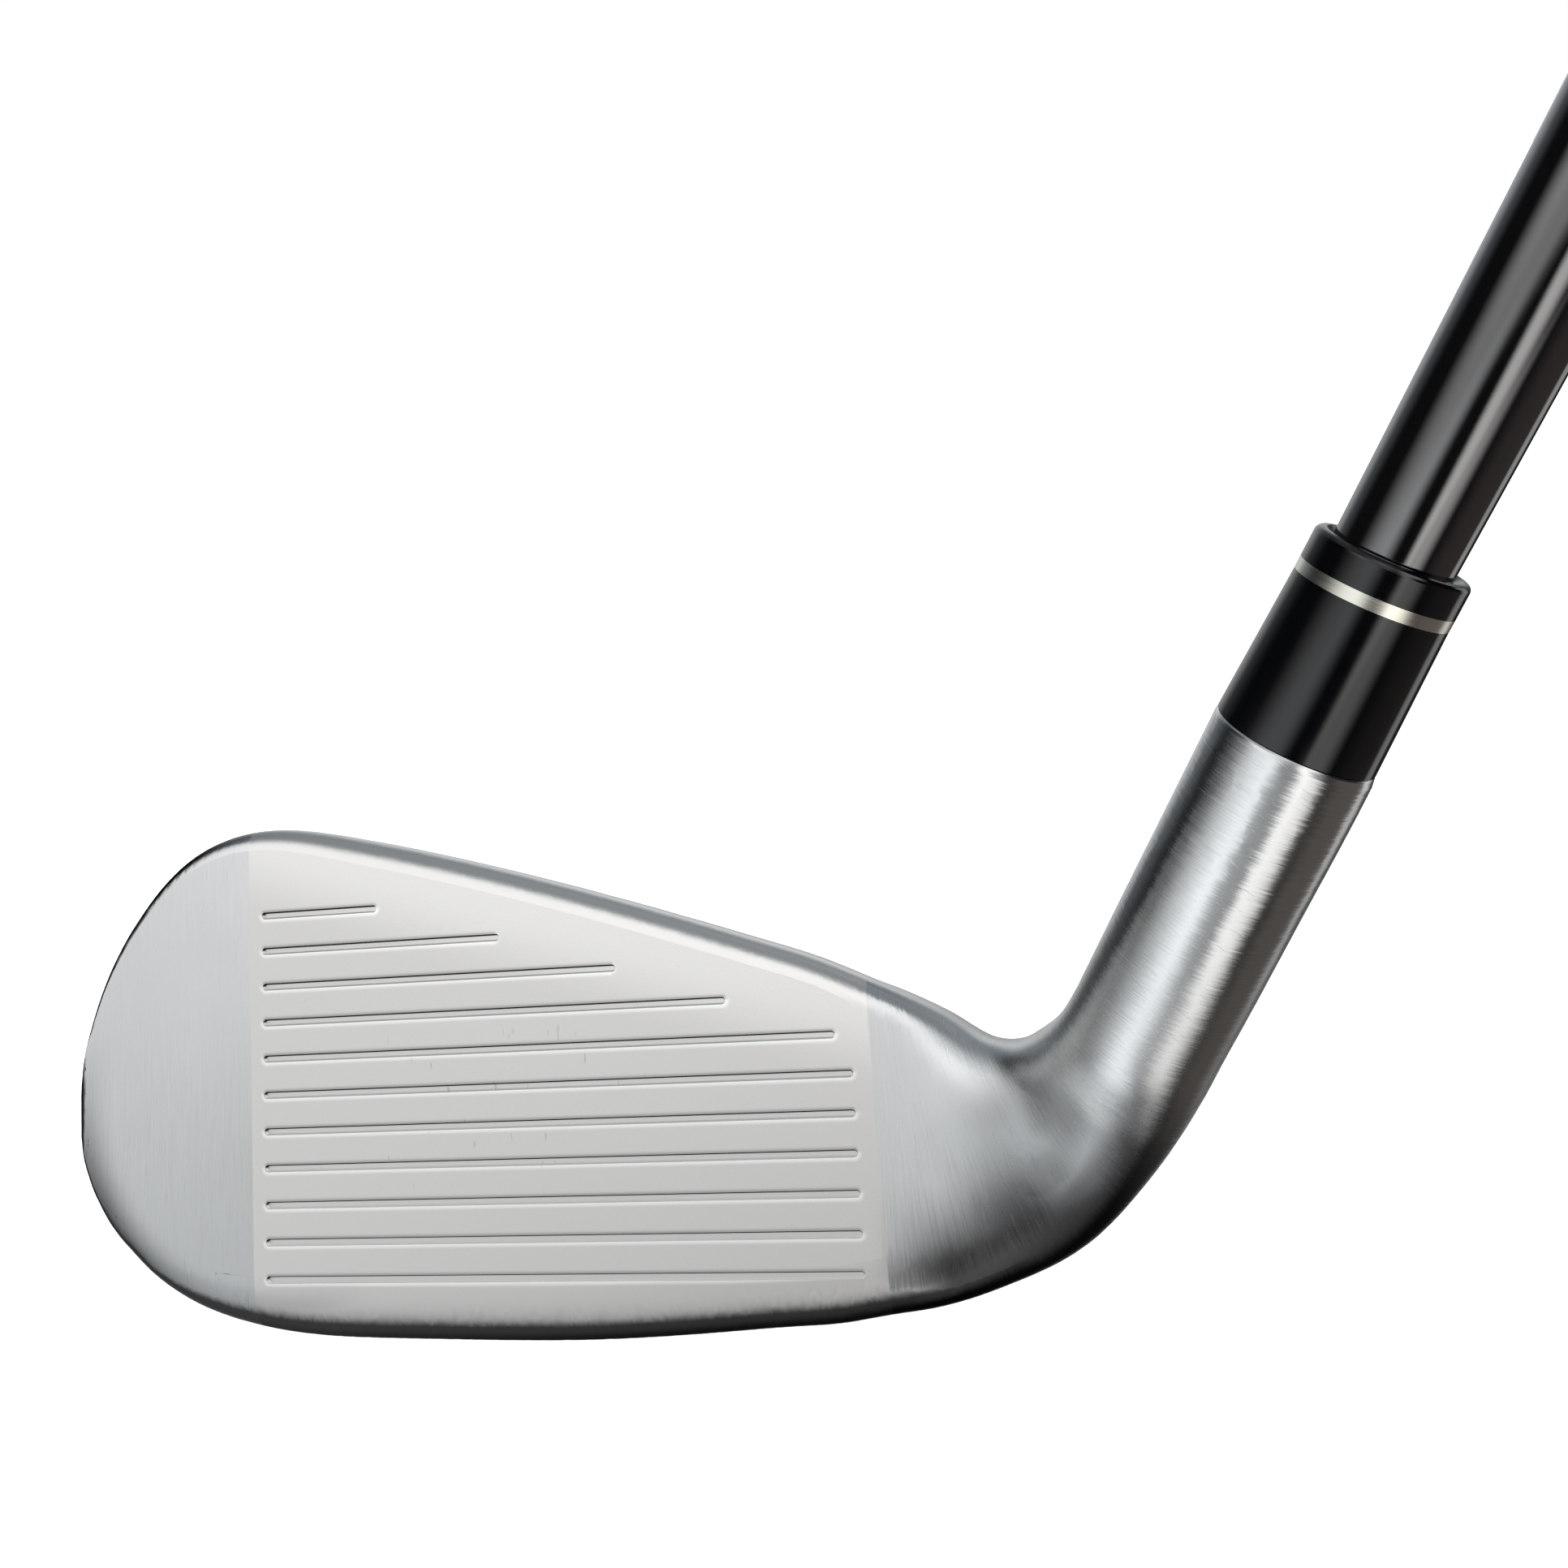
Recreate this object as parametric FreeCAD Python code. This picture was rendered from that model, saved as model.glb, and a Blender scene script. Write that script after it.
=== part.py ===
"""Right-handed cavity-back golf iron, modelled at address: sole on the ground, shaft at its lie angle.

Row frame, millimetres: +Z up, +X from the toe towards the heel and grip, +Y behind the striking face. The
origin is on the face, on the land just below the middle score line, half-way along the full-length lines.

The head is drawn in face axes and then tipped back by the loft:
    u  along the score lines, towards the heel
    v  up the face
    n  out of the face, towards the ball
"""
import FreeCAD
import Part
import math
import os

from FreeCAD import Vector

# ---- driving dimensions -------------------------------------------------------------------------
LOFT_DEG = 27.0
LIE_DEG = 62.0
CLUB_LENGTH = 952.0          # along the shaft axis, from the sole to the end of the grip

LINE_PITCH = 3.556           # score lines, centre to centre
LINE_COUNT = 11
LINE_LENGTH = 59.5           # the full-length lines
LINE_WIDTH = 0.70
LINE_DEPTH = 0.34
LINE_FLOOR = 0.42            # width of a line's flat bottom
SHORT_LINES = 5              # lines stepped along the top edge
SHORT_LENGTHS = [58.0, 47.8, 37.2, 25.5, 12.6]

FACE_SKIM = 0.003            # the blade is forged proud by this much and the face milled flat
FACE_END = 61.2              # heel end of the milled flat
FACE_THICKNESS = 3.0         # striking wall in front of the cavity
TOP_THICKNESS = 6.2          # top line, front to back
SOLE_DEPTH = 17.5            # sole, front to back
TOE_DEPTH = 7.5              # edge thickness at the end of the toe

BORE_RADIUS = 4.61
HOSEL_TOP = 54.6             # stations along the shaft axis, from where it crosses the lowest line
BORE_BOTTOM = 22.0
RIM_RADIUS = 6.40            # the hosel's mouth, and the rounding of its outer edge
RIM_ROUND = 0.38
RIM_STEPS = 4

SLEEVE_BOTTOM_RADIUS = 6.35
RING_LOW = 66.4
RING_HIGH = 67.35
RING_RADIUS = 5.88
COLLAR_TOP = 69.9
COLLAR_RADIUS = 5.85
COLLAR_ROUND = 0.5
COLLAR_RECESS = 0.5          # chamfer round the shaft, in the collar's top
ROUND_STEPS = 5

TIP_RADIUS = 4.51            # 0.355 in shaft tip
BUTT_RADIUS = 7.62           # 0.600 in shaft butt
TIP_WALL = 1.75
BUTT_WALL = 1.15
TIP_PARALLEL = 175.0         # the tip keeps its diameter this far up

GRIP_LENGTH = 267.0
TAPE_THICKNESS = 0.20
TAPE_BACK = 4.0              # the tape starts this far inside the grip's mouth
MOUTH_BAND = 6.0             # raised band round the grip's mouth
BAND_PROUD = 0.45
GRIP_SWELL = 1.25            # the grip thickens late, towards its end
GRIP_STEPS = 8
GRIP_MOUTH_RADIUS = 9.4
GRIP_BUTT_RADIUS = 13.2
CAP_LENGTH = 12.0
CAP_FLOOR = 5.0              # rubber over the end of the shaft
CAP_DOME = 2.4
CAP_ROUND = 4.0              # how far in from the edge the dome starts to flatten
DOME_STEPS = 6
MOUTH_CHAMFER = 0.6
VENT_RADIUS = 1.5

# ---- axes ---------------------------------------------------------------------------------------
LOFT = math.radians(LOFT_DEG)
LIE = math.radians(LIE_DEG)
FACE_MIDDLE = Vector(LINE_LENGTH / 2, (LINE_COUNT - 2) * LINE_PITCH / 2, 0)
AXIS_FOOT_FACE = Vector(72.72, 0, -5.26)     # where the shaft axis crosses the lowest line, in (u, v, n)
SHAFT_DIR = Vector(math.cos(LIE), 0, math.sin(LIE))


def row(u, v, n=0.0):
    """A point in face axes, as a point in the row frame."""
    up = v - FACE_MIDDLE.y
    return Vector(u - FACE_MIDDLE.x,
                  up * math.sin(LOFT) - n * math.cos(LOFT),
                  up * math.cos(LOFT) + n * math.sin(LOFT))


AXIS_FOOT = row(*AXIS_FOOT_FACE)


def on_axis(station):
    return AXIS_FOOT + SHAFT_DIR * station


def export(name, shape):
    shape.exportStep(f"parts/{name}.step")


def smooth(x):
    x = max(0.0, min(1.0, x))
    return x * x * x * (x * (6 * x - 15) + 10)


def mix(a, b, share):
    return a + (b - a) * share


# ---- blade outline, in (u, v) ---------------------------------------------------------------------
TOE_TIP = (-21.5, 17.0)
TOP_EDGE = [(-20.7, 22.6), (-17.97, 30.6), (-13.6, 37.4), (-7.95, 42.4), (-0.6, 44.45), (8.0, 43.4),
            (24.0, 39.25), (42.0, 33.6), (56.0, 28.7), (66.0, 24.15)]
BOTTOM_EDGE = [(-20.85, 11.5), (-18.3, 5.5), (-13.6, -0.15), (-7.6, -3.85), (0.6, -6.3), (12.0, -7.1),
               (26.0, -7.3), (42.0, -6.8), (56.0, -5.85), (66.0, -4.3)]


def edge_curve(points):
    curve = Part.BSplineCurve()
    spots = [Vector(u, v, 0) for u, v in [TOE_TIP] + points]
    curve.interpolate(spots, InitialTangent=Vector(0, points[0][1] - TOE_TIP[1], 0).normalize(),
                      FinalTangent=(spots[-1] - spots[-2]).normalize())
    return curve


def height_at(curve, u):
    """Height of an edge curve at u, found by halving."""
    low, high = curve.FirstParameter, curve.LastParameter
    for _ in range(50):
        middle = (low + high) / 2
        if curve.value(middle).x < u:
            low = middle
        else:
            high = middle
    return curve.value((low + high) / 2).y


# ---- cross-sections: four corners, each with its own radius -------------------------------------------
# Corners go round as top front, leading edge, trailing edge, top back. A section is sampled at the same
# number of spots on each corner and each side, so that neighbouring sections match point for point.
ARC_SPOTS = 7
SOFT_REACH = 1.45            # a soft corner starts this much further out than a circular one
SOFT_HULL = (0.36, 0.72)     # how far its inner control points have gone towards the corner
HALF_SIDE = 0.4999           # a corner takes less than half of the side next to it
SIDE_SPOTS = (9, 5, 7, 1)    # they crowd towards the corners
ARC_STEPS = 96               # steps of the fine outline on a corner and on a side
SIDE_STEPS = 96


def soft_corner(a, corner, b, share):
    """A point on a corner that leaves both sides with no jump in curvature."""
    near, far = SOFT_HULL
    hull = [a, a + (corner - a) * near, a + (corner - a) * far,
            b + (corner - b) * far, b + (corner - b) * near, b]
    point = Vector(0, 0, 0)
    for k in range(6):
        point += hull[k] * (math.comb(5, k) * share ** k * (1 - share) ** (5 - k))
    return point


def rounded_outline(corners, radii, bows, roundness):
    """A fine closed polyline round the corners, and the share of its length at each sampling spot.

    roundness turns the soft corners (0) into circular ones (1).
    """
    count = len(corners)
    arcs = []
    for i in range(count):
        behind, ahead = corners[i - 1], corners[(i + 1) % count]
        before = (behind - corners[i]).normalize()
        after = (ahead - corners[i]).normalize()
        half = math.acos(max(-1.0, min(1.0, before.dot(after)))) / 2
        limit = HALF_SIDE * min((behind - corners[i]).Length, (ahead - corners[i]).Length)
        reach = min(radii[i] / math.tan(half), limit)
        radius = reach * math.tan(half)
        centre = corners[i] + (before + after).normalize() * (radius / math.sin(half))
        start = corners[i] + before * reach - centre
        end = corners[i] + after * reach - centre
        turn = math.pi - 2 * half
        soft_reach = min(SOFT_REACH * reach, limit)
        soft_start = corners[i] + before * soft_reach
        soft_end = corners[i] + after * soft_reach
        arc = []
        for k in range(ARC_STEPS + 1):
            share = k / ARC_STEPS
            circular = centre + start * (math.sin((1 - share) * turn) / math.sin(turn))
            circular += end * (math.sin(share * turn) / math.sin(turn))
            soft = soft_corner(soft_start, corners[i], soft_end, share)
            arc.append(soft + (circular - soft) * roundness[i])
        arcs.append(arc)
    fine = []
    marks = []
    for i in range(count):
        first = len(fine)
        fine += arcs[i]
        marks += [first + ARC_STEPS * k / (ARC_SPOTS - 1) for k in range(ARC_SPOTS)]
        a, b = arcs[i][-1], arcs[(i + 1) % count][0]
        step = b - a
        out = Vector(step.y, -step.x, 0)
        for k in range(1, SIDE_STEPS):
            share = k / SIDE_STEPS
            fine.append(a + step * share + out * (4 * bows[i] * share * (1 - share)))
        side_start = len(fine) - SIDE_STEPS
        for k in range(SIDE_SPOTS[i]):
            share = (1 - math.cos(math.pi * (k + 1) / (SIDE_SPOTS[i] + 1))) / 2
            marks.append(side_start + SIDE_STEPS * share)
    lengths = [0.0]
    for k in range(len(fine)):
        lengths.append(lengths[-1] + (fine[(k + 1) % len(fine)] - fine[k]).Length)
    shares = [length / lengths[-1] for length in lengths]
    spots = []
    for mark in marks:
        k = int(mark)
        spots.append(shares[k] + (shares[k + 1] - shares[k]) * (mark - k))
    return fine, shares, spots


def sample(fine, shares, wanted):
    """Points on a closed fine outline at the wanted shares of its length."""
    points = []
    for share in wanted:
        share %= 1.0
        k = 0
        while shares[k + 1] < share:
            k += 1
        part = (share - shares[k]) / max(1e-12, shares[k + 1] - shares[k])
        a, b = fine[k], fine[(k + 1) % len(fine)]
        points.append(a + (b - a) * part)
    return points


# ---- blade sections ---------------------------------------------------------------------------------
LEADING_RADIUS = 4.5
LEADING_DROP = 0.36          # how far the leading corner lies below its rounding, in radii
TRAILING_RADIUS = 3.2
TOP_FRONT_RADIUS = 2.1
TOP_BACK_RADIUS = 1.6
TOP_FALL = 0.25              # how far the top line's back corner lies below its front one
TOE_RADIUS = 1.2
TOE_LEADING_RADIUS = 1.5
TOE_ROUND = 1.3              # the very tip of the toe is rounded front and back by this much
TOE_BACK_WAY = Vector(0.12, -1, 0)
SOLE_GROWS_OVER = 26.0       # how far from the toe the sole, top line and leading edge reach full size
TOP_GROWS_OVER = 40.0
LEADING_GROWS_OVER = 15.0
BOUNCE_RISE = 1.3            # the sole's trailing edge lies this much above its leading edge
TOE_EVENING = 9.0            # section spots even out over this much of the toe
SOLE_BOW = 0.03              # bows are shares of the side's length, outwards
BACK_BOW = -0.02
TOP_BOW = 0.03


def blade_corners(u):
    """The blade's section at u: its corners as (v, n), their radii, and how far the sides between bow out."""
    top, bottom = height_at(top_curve, u), height_at(bottom_curve, u)
    inset = u - TOE_TIP[0]
    share = smooth(inset / SOLE_GROWS_OVER)
    edge_share = smooth(inset / TOP_GROWS_OVER)
    lost = 0.0
    if inset < TOE_ROUND:
        lost = TOE_ROUND - math.sqrt(TOE_ROUND ** 2 - (TOE_ROUND - inset) ** 2)
    front = FACE_SKIM - lost
    depth = mix(TOE_DEPTH, SOLE_DEPTH, share) - 2 * lost
    leading = mix(TOE_LEADING_RADIUS, LEADING_RADIUS, smooth(inset / LEADING_GROWS_OVER))
    back_way = Vector(math.sin(LOFT), -math.cos(LOFT), 0)
    back_way = (back_way * share + TOE_BACK_WAY * (1 - share)).normalize()
    rise = Vector(-back_way.y, back_way.x, 0) * BOUNCE_RISE * share
    leading_edge = Vector(bottom - LEADING_DROP * leading * share, front, 0)
    corners = [Vector(top, front, 0), leading_edge, leading_edge + back_way * depth + rise,
               Vector(top - TOP_FALL, front - TOP_THICKNESS + 2 * lost, 0)]
    radii = [mix(TOE_RADIUS, TOP_FRONT_RADIUS, edge_share), leading, TRAILING_RADIUS, TOP_BACK_RADIUS]
    return corners, radii, [0.0, SOLE_BOW * share, BACK_BOW * share, TOP_BOW], [0.0] * 4


top_curve = edge_curve(TOP_EDGE)
bottom_curve = edge_curve(BOTTOM_EDGE)
MIDDLE_U = 30.0
SPOTS = rounded_outline(*blade_corners(MIDDLE_U))[2]
TOP_SPOT = (SPOTS[-1] - 1) / 2 + SPOTS[0] / 2     # the share of the outline that is the highest spot
KNOTS = SPOTS + [1.0]


def blade_section(u):
    """Section of the blade at u, with its spots evened out near the tip of the toe."""
    fine, shares, spots = rounded_outline(*blade_corners(u))
    even = 1 - smooth((u - TOE_TIP[0]) / TOE_EVENING)
    points = sample(fine, shares, [mix(a, b, even) for a, b in zip(spots, SPOTS)])
    return [row(u, p.x, p.y) for p in points]


# ---- heel and hosel sections ----------------------------------------------------------------------------
# All section planes hold the row frame's Y axis. Along the blade they stand square to u. Round the heel they
# fan about a pivot above the crotch, and up the hosel they stand square to the shaft.
FAN_START_U = 62.0
FAN_END_STATION = 27.0
FAN_STEPS = 20
LIE_SWEEP = 62.0
LOW_FORM_END = 50.0          # fan angle at which the bottom corners are the hosel's
HIGH_FORM_START = 21.0       # fan angles between which the top corners change over
HIGH_FORM_END = 62.0
LEADING_SWELL = 5.0          # extra radius on the leading edge half-way round
FRONT_BELLY = 0.09           # bow of the front half-way round, where the hosel grows out of the face
BELLY_START = 8.0
PIVOT_X = FAN_START_U - FACE_MIDDLE.x
PIVOT_Z = AXIS_FOOT.z + (FAN_END_STATION - (PIVOT_X - AXIS_FOOT.x) * SHAFT_DIR.x) / SHAFT_DIR.z
PIVOT = Vector(PIVOT_X, 0, PIVOT_Z)
PIVOT_TO_AXIS = (PIVOT_X - AXIS_FOOT.x) * -SHAFT_DIR.z + (PIVOT_Z - AXIS_FOOT.z) * SHAFT_DIR.x

# Crotch and heel outlines between the blade and the hosel, as (X, Z).
CROTCH_LINE = [(35.5, 6.5), (38.5, 4.75), (41.7, 2.95), (44.3, 3.1), (46.85, 5.2), (48.7, 7.75)]
HEEL_LINE = [(39.63, -18.3), (43.2, -17.25), (47.2, -15.7), (50.7, -13.3), (54.25, -9.0), (57.05, -4.7),
             (59.5, -0.5)]
# Hosel half widths on the crotch side and on the heel side, against the station.
HOSEL_SIDES = [(27.0, 6.30, 6.96), (31.0, 6.30, 6.93), (36.0, 6.34, 6.86), (43.0, 6.36, 6.74),
               (50.0, 6.38, 6.63), (54.6, 6.40, 6.46)]

fan_plane, fan_radii, fan_bows, _ = blade_corners(FAN_START_U)
fan_corners = []             # the blade's corners there, as (drop below the pivot, Y)
for corner in fan_plane:
    spot = row(FAN_START_U, corner.x, corner.y)
    fan_corners.append((PIVOT.z - spot.z, spot.y))
FAN_DROPS = [PIVOT.z - point.z for point in blade_section(FAN_START_U)]
NEAR_DROP, FAR_DROP = min(FAN_DROPS), max(FAN_DROPS)
HOSEL_DOWN = Vector(SHAFT_DIR.z, 0, -SHAFT_DIR.x)


def side_line(first_drop, points, last_drop):
    """Outline in the X-Z plane from the blade's end to the hosel's start."""
    first = PIVOT + Vector(0, 0, -first_drop)
    last = PIVOT + HOSEL_DOWN * last_drop
    curve = Part.BSplineCurve()
    curve.interpolate([first] + [Vector(x, 0, z) for x, z in points] + [last])
    return curve


def drop_at(curve, angle_deg):
    """Distance from the pivot to an outline, along the fan's ray at an angle."""
    ray = Vector(math.cos(math.radians(angle_deg)), 0, math.sin(math.radians(angle_deg)))
    low, high = curve.FirstParameter, curve.LastParameter
    for _ in range(50):
        middle = (low + high) / 2
        if (curve.value(middle) - PIVOT).dot(ray) < 0:
            low = middle
        else:
            high = middle
    return (curve.value(low) - PIVOT).Length


NEAR_SIDE, FAR_SIDE = HOSEL_SIDES[0][1], HOSEL_SIDES[0][2]
TOE_SECTIONS = 11
TOE_LENGTH = 16.0
FIRST_REACH = 0.045          # the first section's place, as the root of its share of that length
BLADE_SECTIONS = 12
BLADE_START = -1.5
BLADE_STEP = 5.3
FAN_OFFSET = 0.25            # the first fan section stands this share of a step past the blade
crotch_line = side_line(NEAR_DROP, CROTCH_LINE, PIVOT_TO_AXIS - NEAR_SIDE)
heel_line = side_line(FAR_DROP, HEEL_LINE, PIVOT_TO_AXIS + FAR_SIDE)


def fan_section(angle_deg):
    """Section at a fan angle: the blade's corners and radii on their way to the hosel's circle.

    The bottom corners leave the blade's shape at once. The top corners keep to the plane of the face until
    the crotch, and then come forward with the hosel.
    """
    near = drop_at(crotch_line, angle_deg)
    far = drop_at(heel_line, angle_deg)
    turn = math.radians(angle_deg)
    low_share = smooth(angle_deg / LOW_FORM_END)
    high_share = smooth((angle_deg - HIGH_FORM_START) / (HIGH_FORM_END - HIGH_FORM_START))
    swell = LEADING_SWELL * math.sin(math.pi * angle_deg / LIE_SWEEP) ** 2
    half = (NEAR_SIDE + FAR_SIDE) / 2
    front_y, back_y = AXIS_FOOT.y - half, AXIS_FOOT.y + half
    targets = [(near, front_y, high_share), (far, front_y, low_share), (far, back_y, low_share),
               (near, back_y, high_share)]
    corners = []
    radii = []
    for blade_drop_y, radius, (target_drop, target_y, share) in zip(fan_corners, fan_radii, targets):
        blade_drop, blade_y = blade_drop_y
        drop = blade_drop + (near - NEAR_DROP if target_drop == near else far - FAR_DROP)
        y = blade_y + (blade_drop - drop * math.cos(turn)) * math.tan(LOFT)
        corners.append(Vector(-mix(drop, target_drop, share), -mix(y, target_y, share), 0))
        radii.append(mix(radius, half, share))
    radii[1] += swell
    bows = [mix(bow, 0.0, low_share) for bow in fan_bows]
    belly_share = max(0.0, angle_deg - BELLY_START) / (LIE_SWEEP - BELLY_START)
    bows[0] = FRONT_BELLY * math.sin(math.pi * belly_share) ** 2
    roundness = [share for _, _, share in targets]
    fine, lengths, spots = rounded_outline(corners, radii, bows, roundness)
    first = min(-p.x for p in fine)
    last = max(-p.x for p in fine)
    wanted = [mix(a, b - TOP_SPOT, low_share) for a, b in zip(spots, SPOTS)]
    down = Vector(math.sin(turn), 0, -math.cos(turn))
    points = []
    for p in sample(fine, lengths, wanted):
        drop = near + (-p.x - first) * (far - near) / (last - first)
        points.append(PIVOT + down * drop + Vector(0, -p.y, 0))
    return points


def hosel_section(station, near_side, far_side):
    """Circle square to the shaft, reaching each half width on its side of the axis."""
    middle = PIVOT_TO_AXIS + (far_side - near_side) / 2
    radius = (near_side + far_side) / 2
    start = PIVOT + SHAFT_DIR * (station - FAN_END_STATION)
    points = []
    for spot in SPOTS:
        angle = 2 * math.pi * (spot - TOP_SPOT)
        points.append(start + HOSEL_DOWN * (middle - radius * math.cos(angle))
                      + Vector(0, AXIS_FOOT.y - radius * math.sin(angle), 0))
    return points


def head_sections():
    """Every section from the toe to the mouth of the hosel. They crowd towards the tip of the toe."""
    sections = []
    for i in range(TOE_SECTIONS):
        reach = FIRST_REACH + i * (1 - FIRST_REACH) / (TOE_SECTIONS - 1)
        sections.append(blade_section(TOE_TIP[0] + TOE_LENGTH * reach ** 2))
    for i in range(BLADE_SECTIONS):
        sections.append(blade_section(BLADE_START + i * BLADE_STEP))
    for i in range(FAN_STEPS):
        sections.append(fan_section(LIE_SWEEP * (i + FAN_OFFSET) / (FAN_STEPS + FAN_OFFSET)))
    for station, near_side, far_side in HOSEL_SIDES:
        sections.append(hosel_section(station, near_side, far_side))
    return sections


def skin(sections):
    """Closed solid through the sections: one smooth surface and two flat ends."""
    columns = []
    for points in sections:
        curve = Part.BSplineCurve()
        curve.interpolate(Points=points, PeriodicFlag=True, Parameters=KNOTS)
        columns.append(curve)
    pole_count = columns[0].NbPoles
    stations = [0.0]
    for a, b in zip(columns, columns[1:]):
        steps = [(p - q).Length for p, q in zip(a.getPoles(), b.getPoles())]
        stations.append(stations[-1] + sum(steps) / len(steps))
    stations = [s / stations[-1] for s in stations]
    rows = []
    for j in range(pole_count):
        along = Part.BSplineCurve()
        along.interpolate(Points=[curve.getPole(j + 1) for curve in columns], Parameters=stations)
        rows.append(along)
    first = rows[0]
    poles = [[along.getPole(i + 1) for along in rows] for i in range(first.NbPoles)]
    surface = Part.BSplineSurface()
    surface.buildFromPolesMultsKnots(poles, first.getMultiplicities(), columns[0].getMultiplicities(),
                                     first.getKnots(), columns[0].getKnots(), False, True, 3, 3)
    side = surface.toShape()
    ends = []
    for iso_at in (first.FirstParameter, first.LastParameter):
        ends.append(Part.Face(Part.Wire([surface.uIso(iso_at).toShape()])))
    solid = Part.makeSolid(Part.makeShell([side] + ends))
    if solid.Volume < 0:
        solid.reverse()
    return solid


# ---- cutting tools for the head ---------------------------------------------------------------------
def tip_back(shape):
    """A shape drawn in (u, v, n), placed in the row frame."""
    s, c = math.sin(LOFT), math.cos(LOFT)
    matrix = FreeCAD.Matrix(1, 0, 0, -FACE_MIDDLE.x,
                            0, s, -c, -s * FACE_MIDDLE.y,
                            0, c, s, -c * FACE_MIDDLE.y,
                            0, 0, 0, 1)
    placed = shape.copy()
    placed.transformShape(matrix)
    return placed


CUTTER_PROUD = 0.2


def slot_wire(start, end, v, width, n):
    """Round-ended slot outline along u."""
    r = width / 2
    low_a, low_b = Vector(start + r, v - r, n), Vector(end - r, v - r, n)
    high_a, high_b = Vector(start + r, v + r, n), Vector(end - r, v + r, n)
    edges = [Part.LineSegment(low_a, low_b).toShape(),
             Part.Arc(low_b, Vector(end, v, n), high_b).toShape(),
             Part.LineSegment(high_b, high_a).toShape(),
             Part.Arc(high_a, Vector(start, v, n), low_a).toShape()]
    return Part.Wire(edges)


def score_line(v, length):
    """Tapered round-ended cutter for one score line, reaching a little out of the face."""
    over = CUTTER_PROUD
    slope = (LINE_WIDTH - LINE_FLOOR) / LINE_DEPTH
    open_width = LINE_WIDTH + slope * over
    inset = (LINE_WIDTH - LINE_FLOOR) / 2
    grow = slope * over / 2
    mouth = slot_wire(-grow, length + grow, v, open_width, over)
    floor = slot_wire(inset, length - inset, v, LINE_FLOOR, -LINE_DEPTH)
    return Part.makeLoft([floor, mouth], True, True)


def rounded_wire(corners, radius, n):
    """Closed outline with rounded corners."""
    count = len(corners)
    starts, middles, ends = [], [], []
    for i in range(count):
        corner = Vector(corners[i][0], corners[i][1], n)
        before = (Vector(corners[i - 1][0], corners[i - 1][1], n) - corner).normalize()
        after = (Vector(corners[(i + 1) % count][0], corners[(i + 1) % count][1], n) - corner).normalize()
        half = math.acos(before.dot(after)) / 2
        centre = corner + (before + after).normalize() * (radius / math.sin(half))
        starts.append(corner + before * (radius / math.tan(half)))
        ends.append(corner + after * (radius / math.tan(half)))
        middles.append(centre + (corner - centre).normalize() * radius)
    edges = []
    for i in range(count):
        edges.append(Part.Arc(starts[i], middles[i], ends[i]).toShape())
        edges.append(Part.LineSegment(ends[i], starts[(i + 1) % count]).toShape())
    return Part.Wire(edges)


def grown(corners, amount):
    """The same outline with every side moved outwards."""
    count = len(corners)
    lines = []
    for i in range(count):
        a, b = corners[i], corners[(i + 1) % count]
        length = math.hypot(b[0] - a[0], b[1] - a[1])
        out = ((b[1] - a[1]) / length, -(b[0] - a[0]) / length)
        lines.append((out, out[0] * a[0] + out[1] * a[1] + amount))
    result = []
    for i in range(count):
        (p, r), (q, t) = lines[i - 1], lines[i]
        det = p[0] * q[1] - p[1] * q[0]
        result.append(((r * q[1] - t * p[1]) / det, (p[0] * t - q[0] * r) / det))
    return result


# Cavity floor outline, walked anticlockwise in (u, v), and the badge's split line between tape and pad.
CAVITY = [(-7.5, 8.0), (46.0, 7.0), (53.5, 10.5), (52.5, 22.4), (-2.0, 37.6), (-12.0, 30.2), (-13.0, 15.5)]
CAVITY_CORNER = 4.0
CAVITY_DRAFT = 1.8
CAVITY_MOUTH = -24.0
BADGE_GAP = 0.6
BADGE_THICKNESS = 1.2
BADGE_CHAMFER = 0.35
TAPE_LAYER = 0.5
TAPE_INSET = 0.6
TRIM_BOX = (200.0, 60.0, 10.0)
SPLIT_V = 13.0
SPLIT_GAP = 0.6


def cavity_tool():
    """What is taken out of the back: the cavity, opening out towards its mouth."""
    floor = rounded_wire(CAVITY, CAVITY_CORNER, -FACE_THICKNESS)
    mouth = rounded_wire(grown(CAVITY, CAVITY_DRAFT), CAVITY_CORNER + CAVITY_DRAFT, CAVITY_MOUTH)
    return Part.makeLoft([floor, mouth], True, True)


def plate(front_n, back_n, inset):
    """Flat plate that lies in the cavity, with a gap all round."""
    outline = rounded_wire(grown(CAVITY, -inset), CAVITY_CORNER - inset, back_n)
    return Part.Face(outline).extrude(Vector(0, 0, front_n - back_n))


def spun(profile):
    """Solid of revolution about the shaft axis from (station, radius) points."""
    spots = [Vector(r, 0, t) for t, r in profile]
    face = Part.Face(Part.makePolygon(spots + [spots[0]]))
    solid = face.revolve(Vector(0, 0, 0), Vector(0, 0, 1), 360)
    solid.Placement = FreeCAD.Placement(AXIS_FOOT, FreeCAD.Rotation(Vector(0, 0, 1), SHAFT_DIR))
    return solid


# ---- head -------------------------------------------------------------------------------------------
MILL_MARGIN = 40.0           # the face mill's sweep, wider than the blade
MILL_HEIGHT = 90.0
MILL_LOW = -30.0
RIM_CUT_RADIUS = 12.0
os.makedirs("parts", exist_ok=True)

head = skin(head_sections())
mill = tip_back(Part.makeBox(FACE_END + MILL_MARGIN, MILL_HEIGHT, 2, Vector(-MILL_MARGIN, MILL_LOW, 0)))
head = head.cut(mill)

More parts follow.
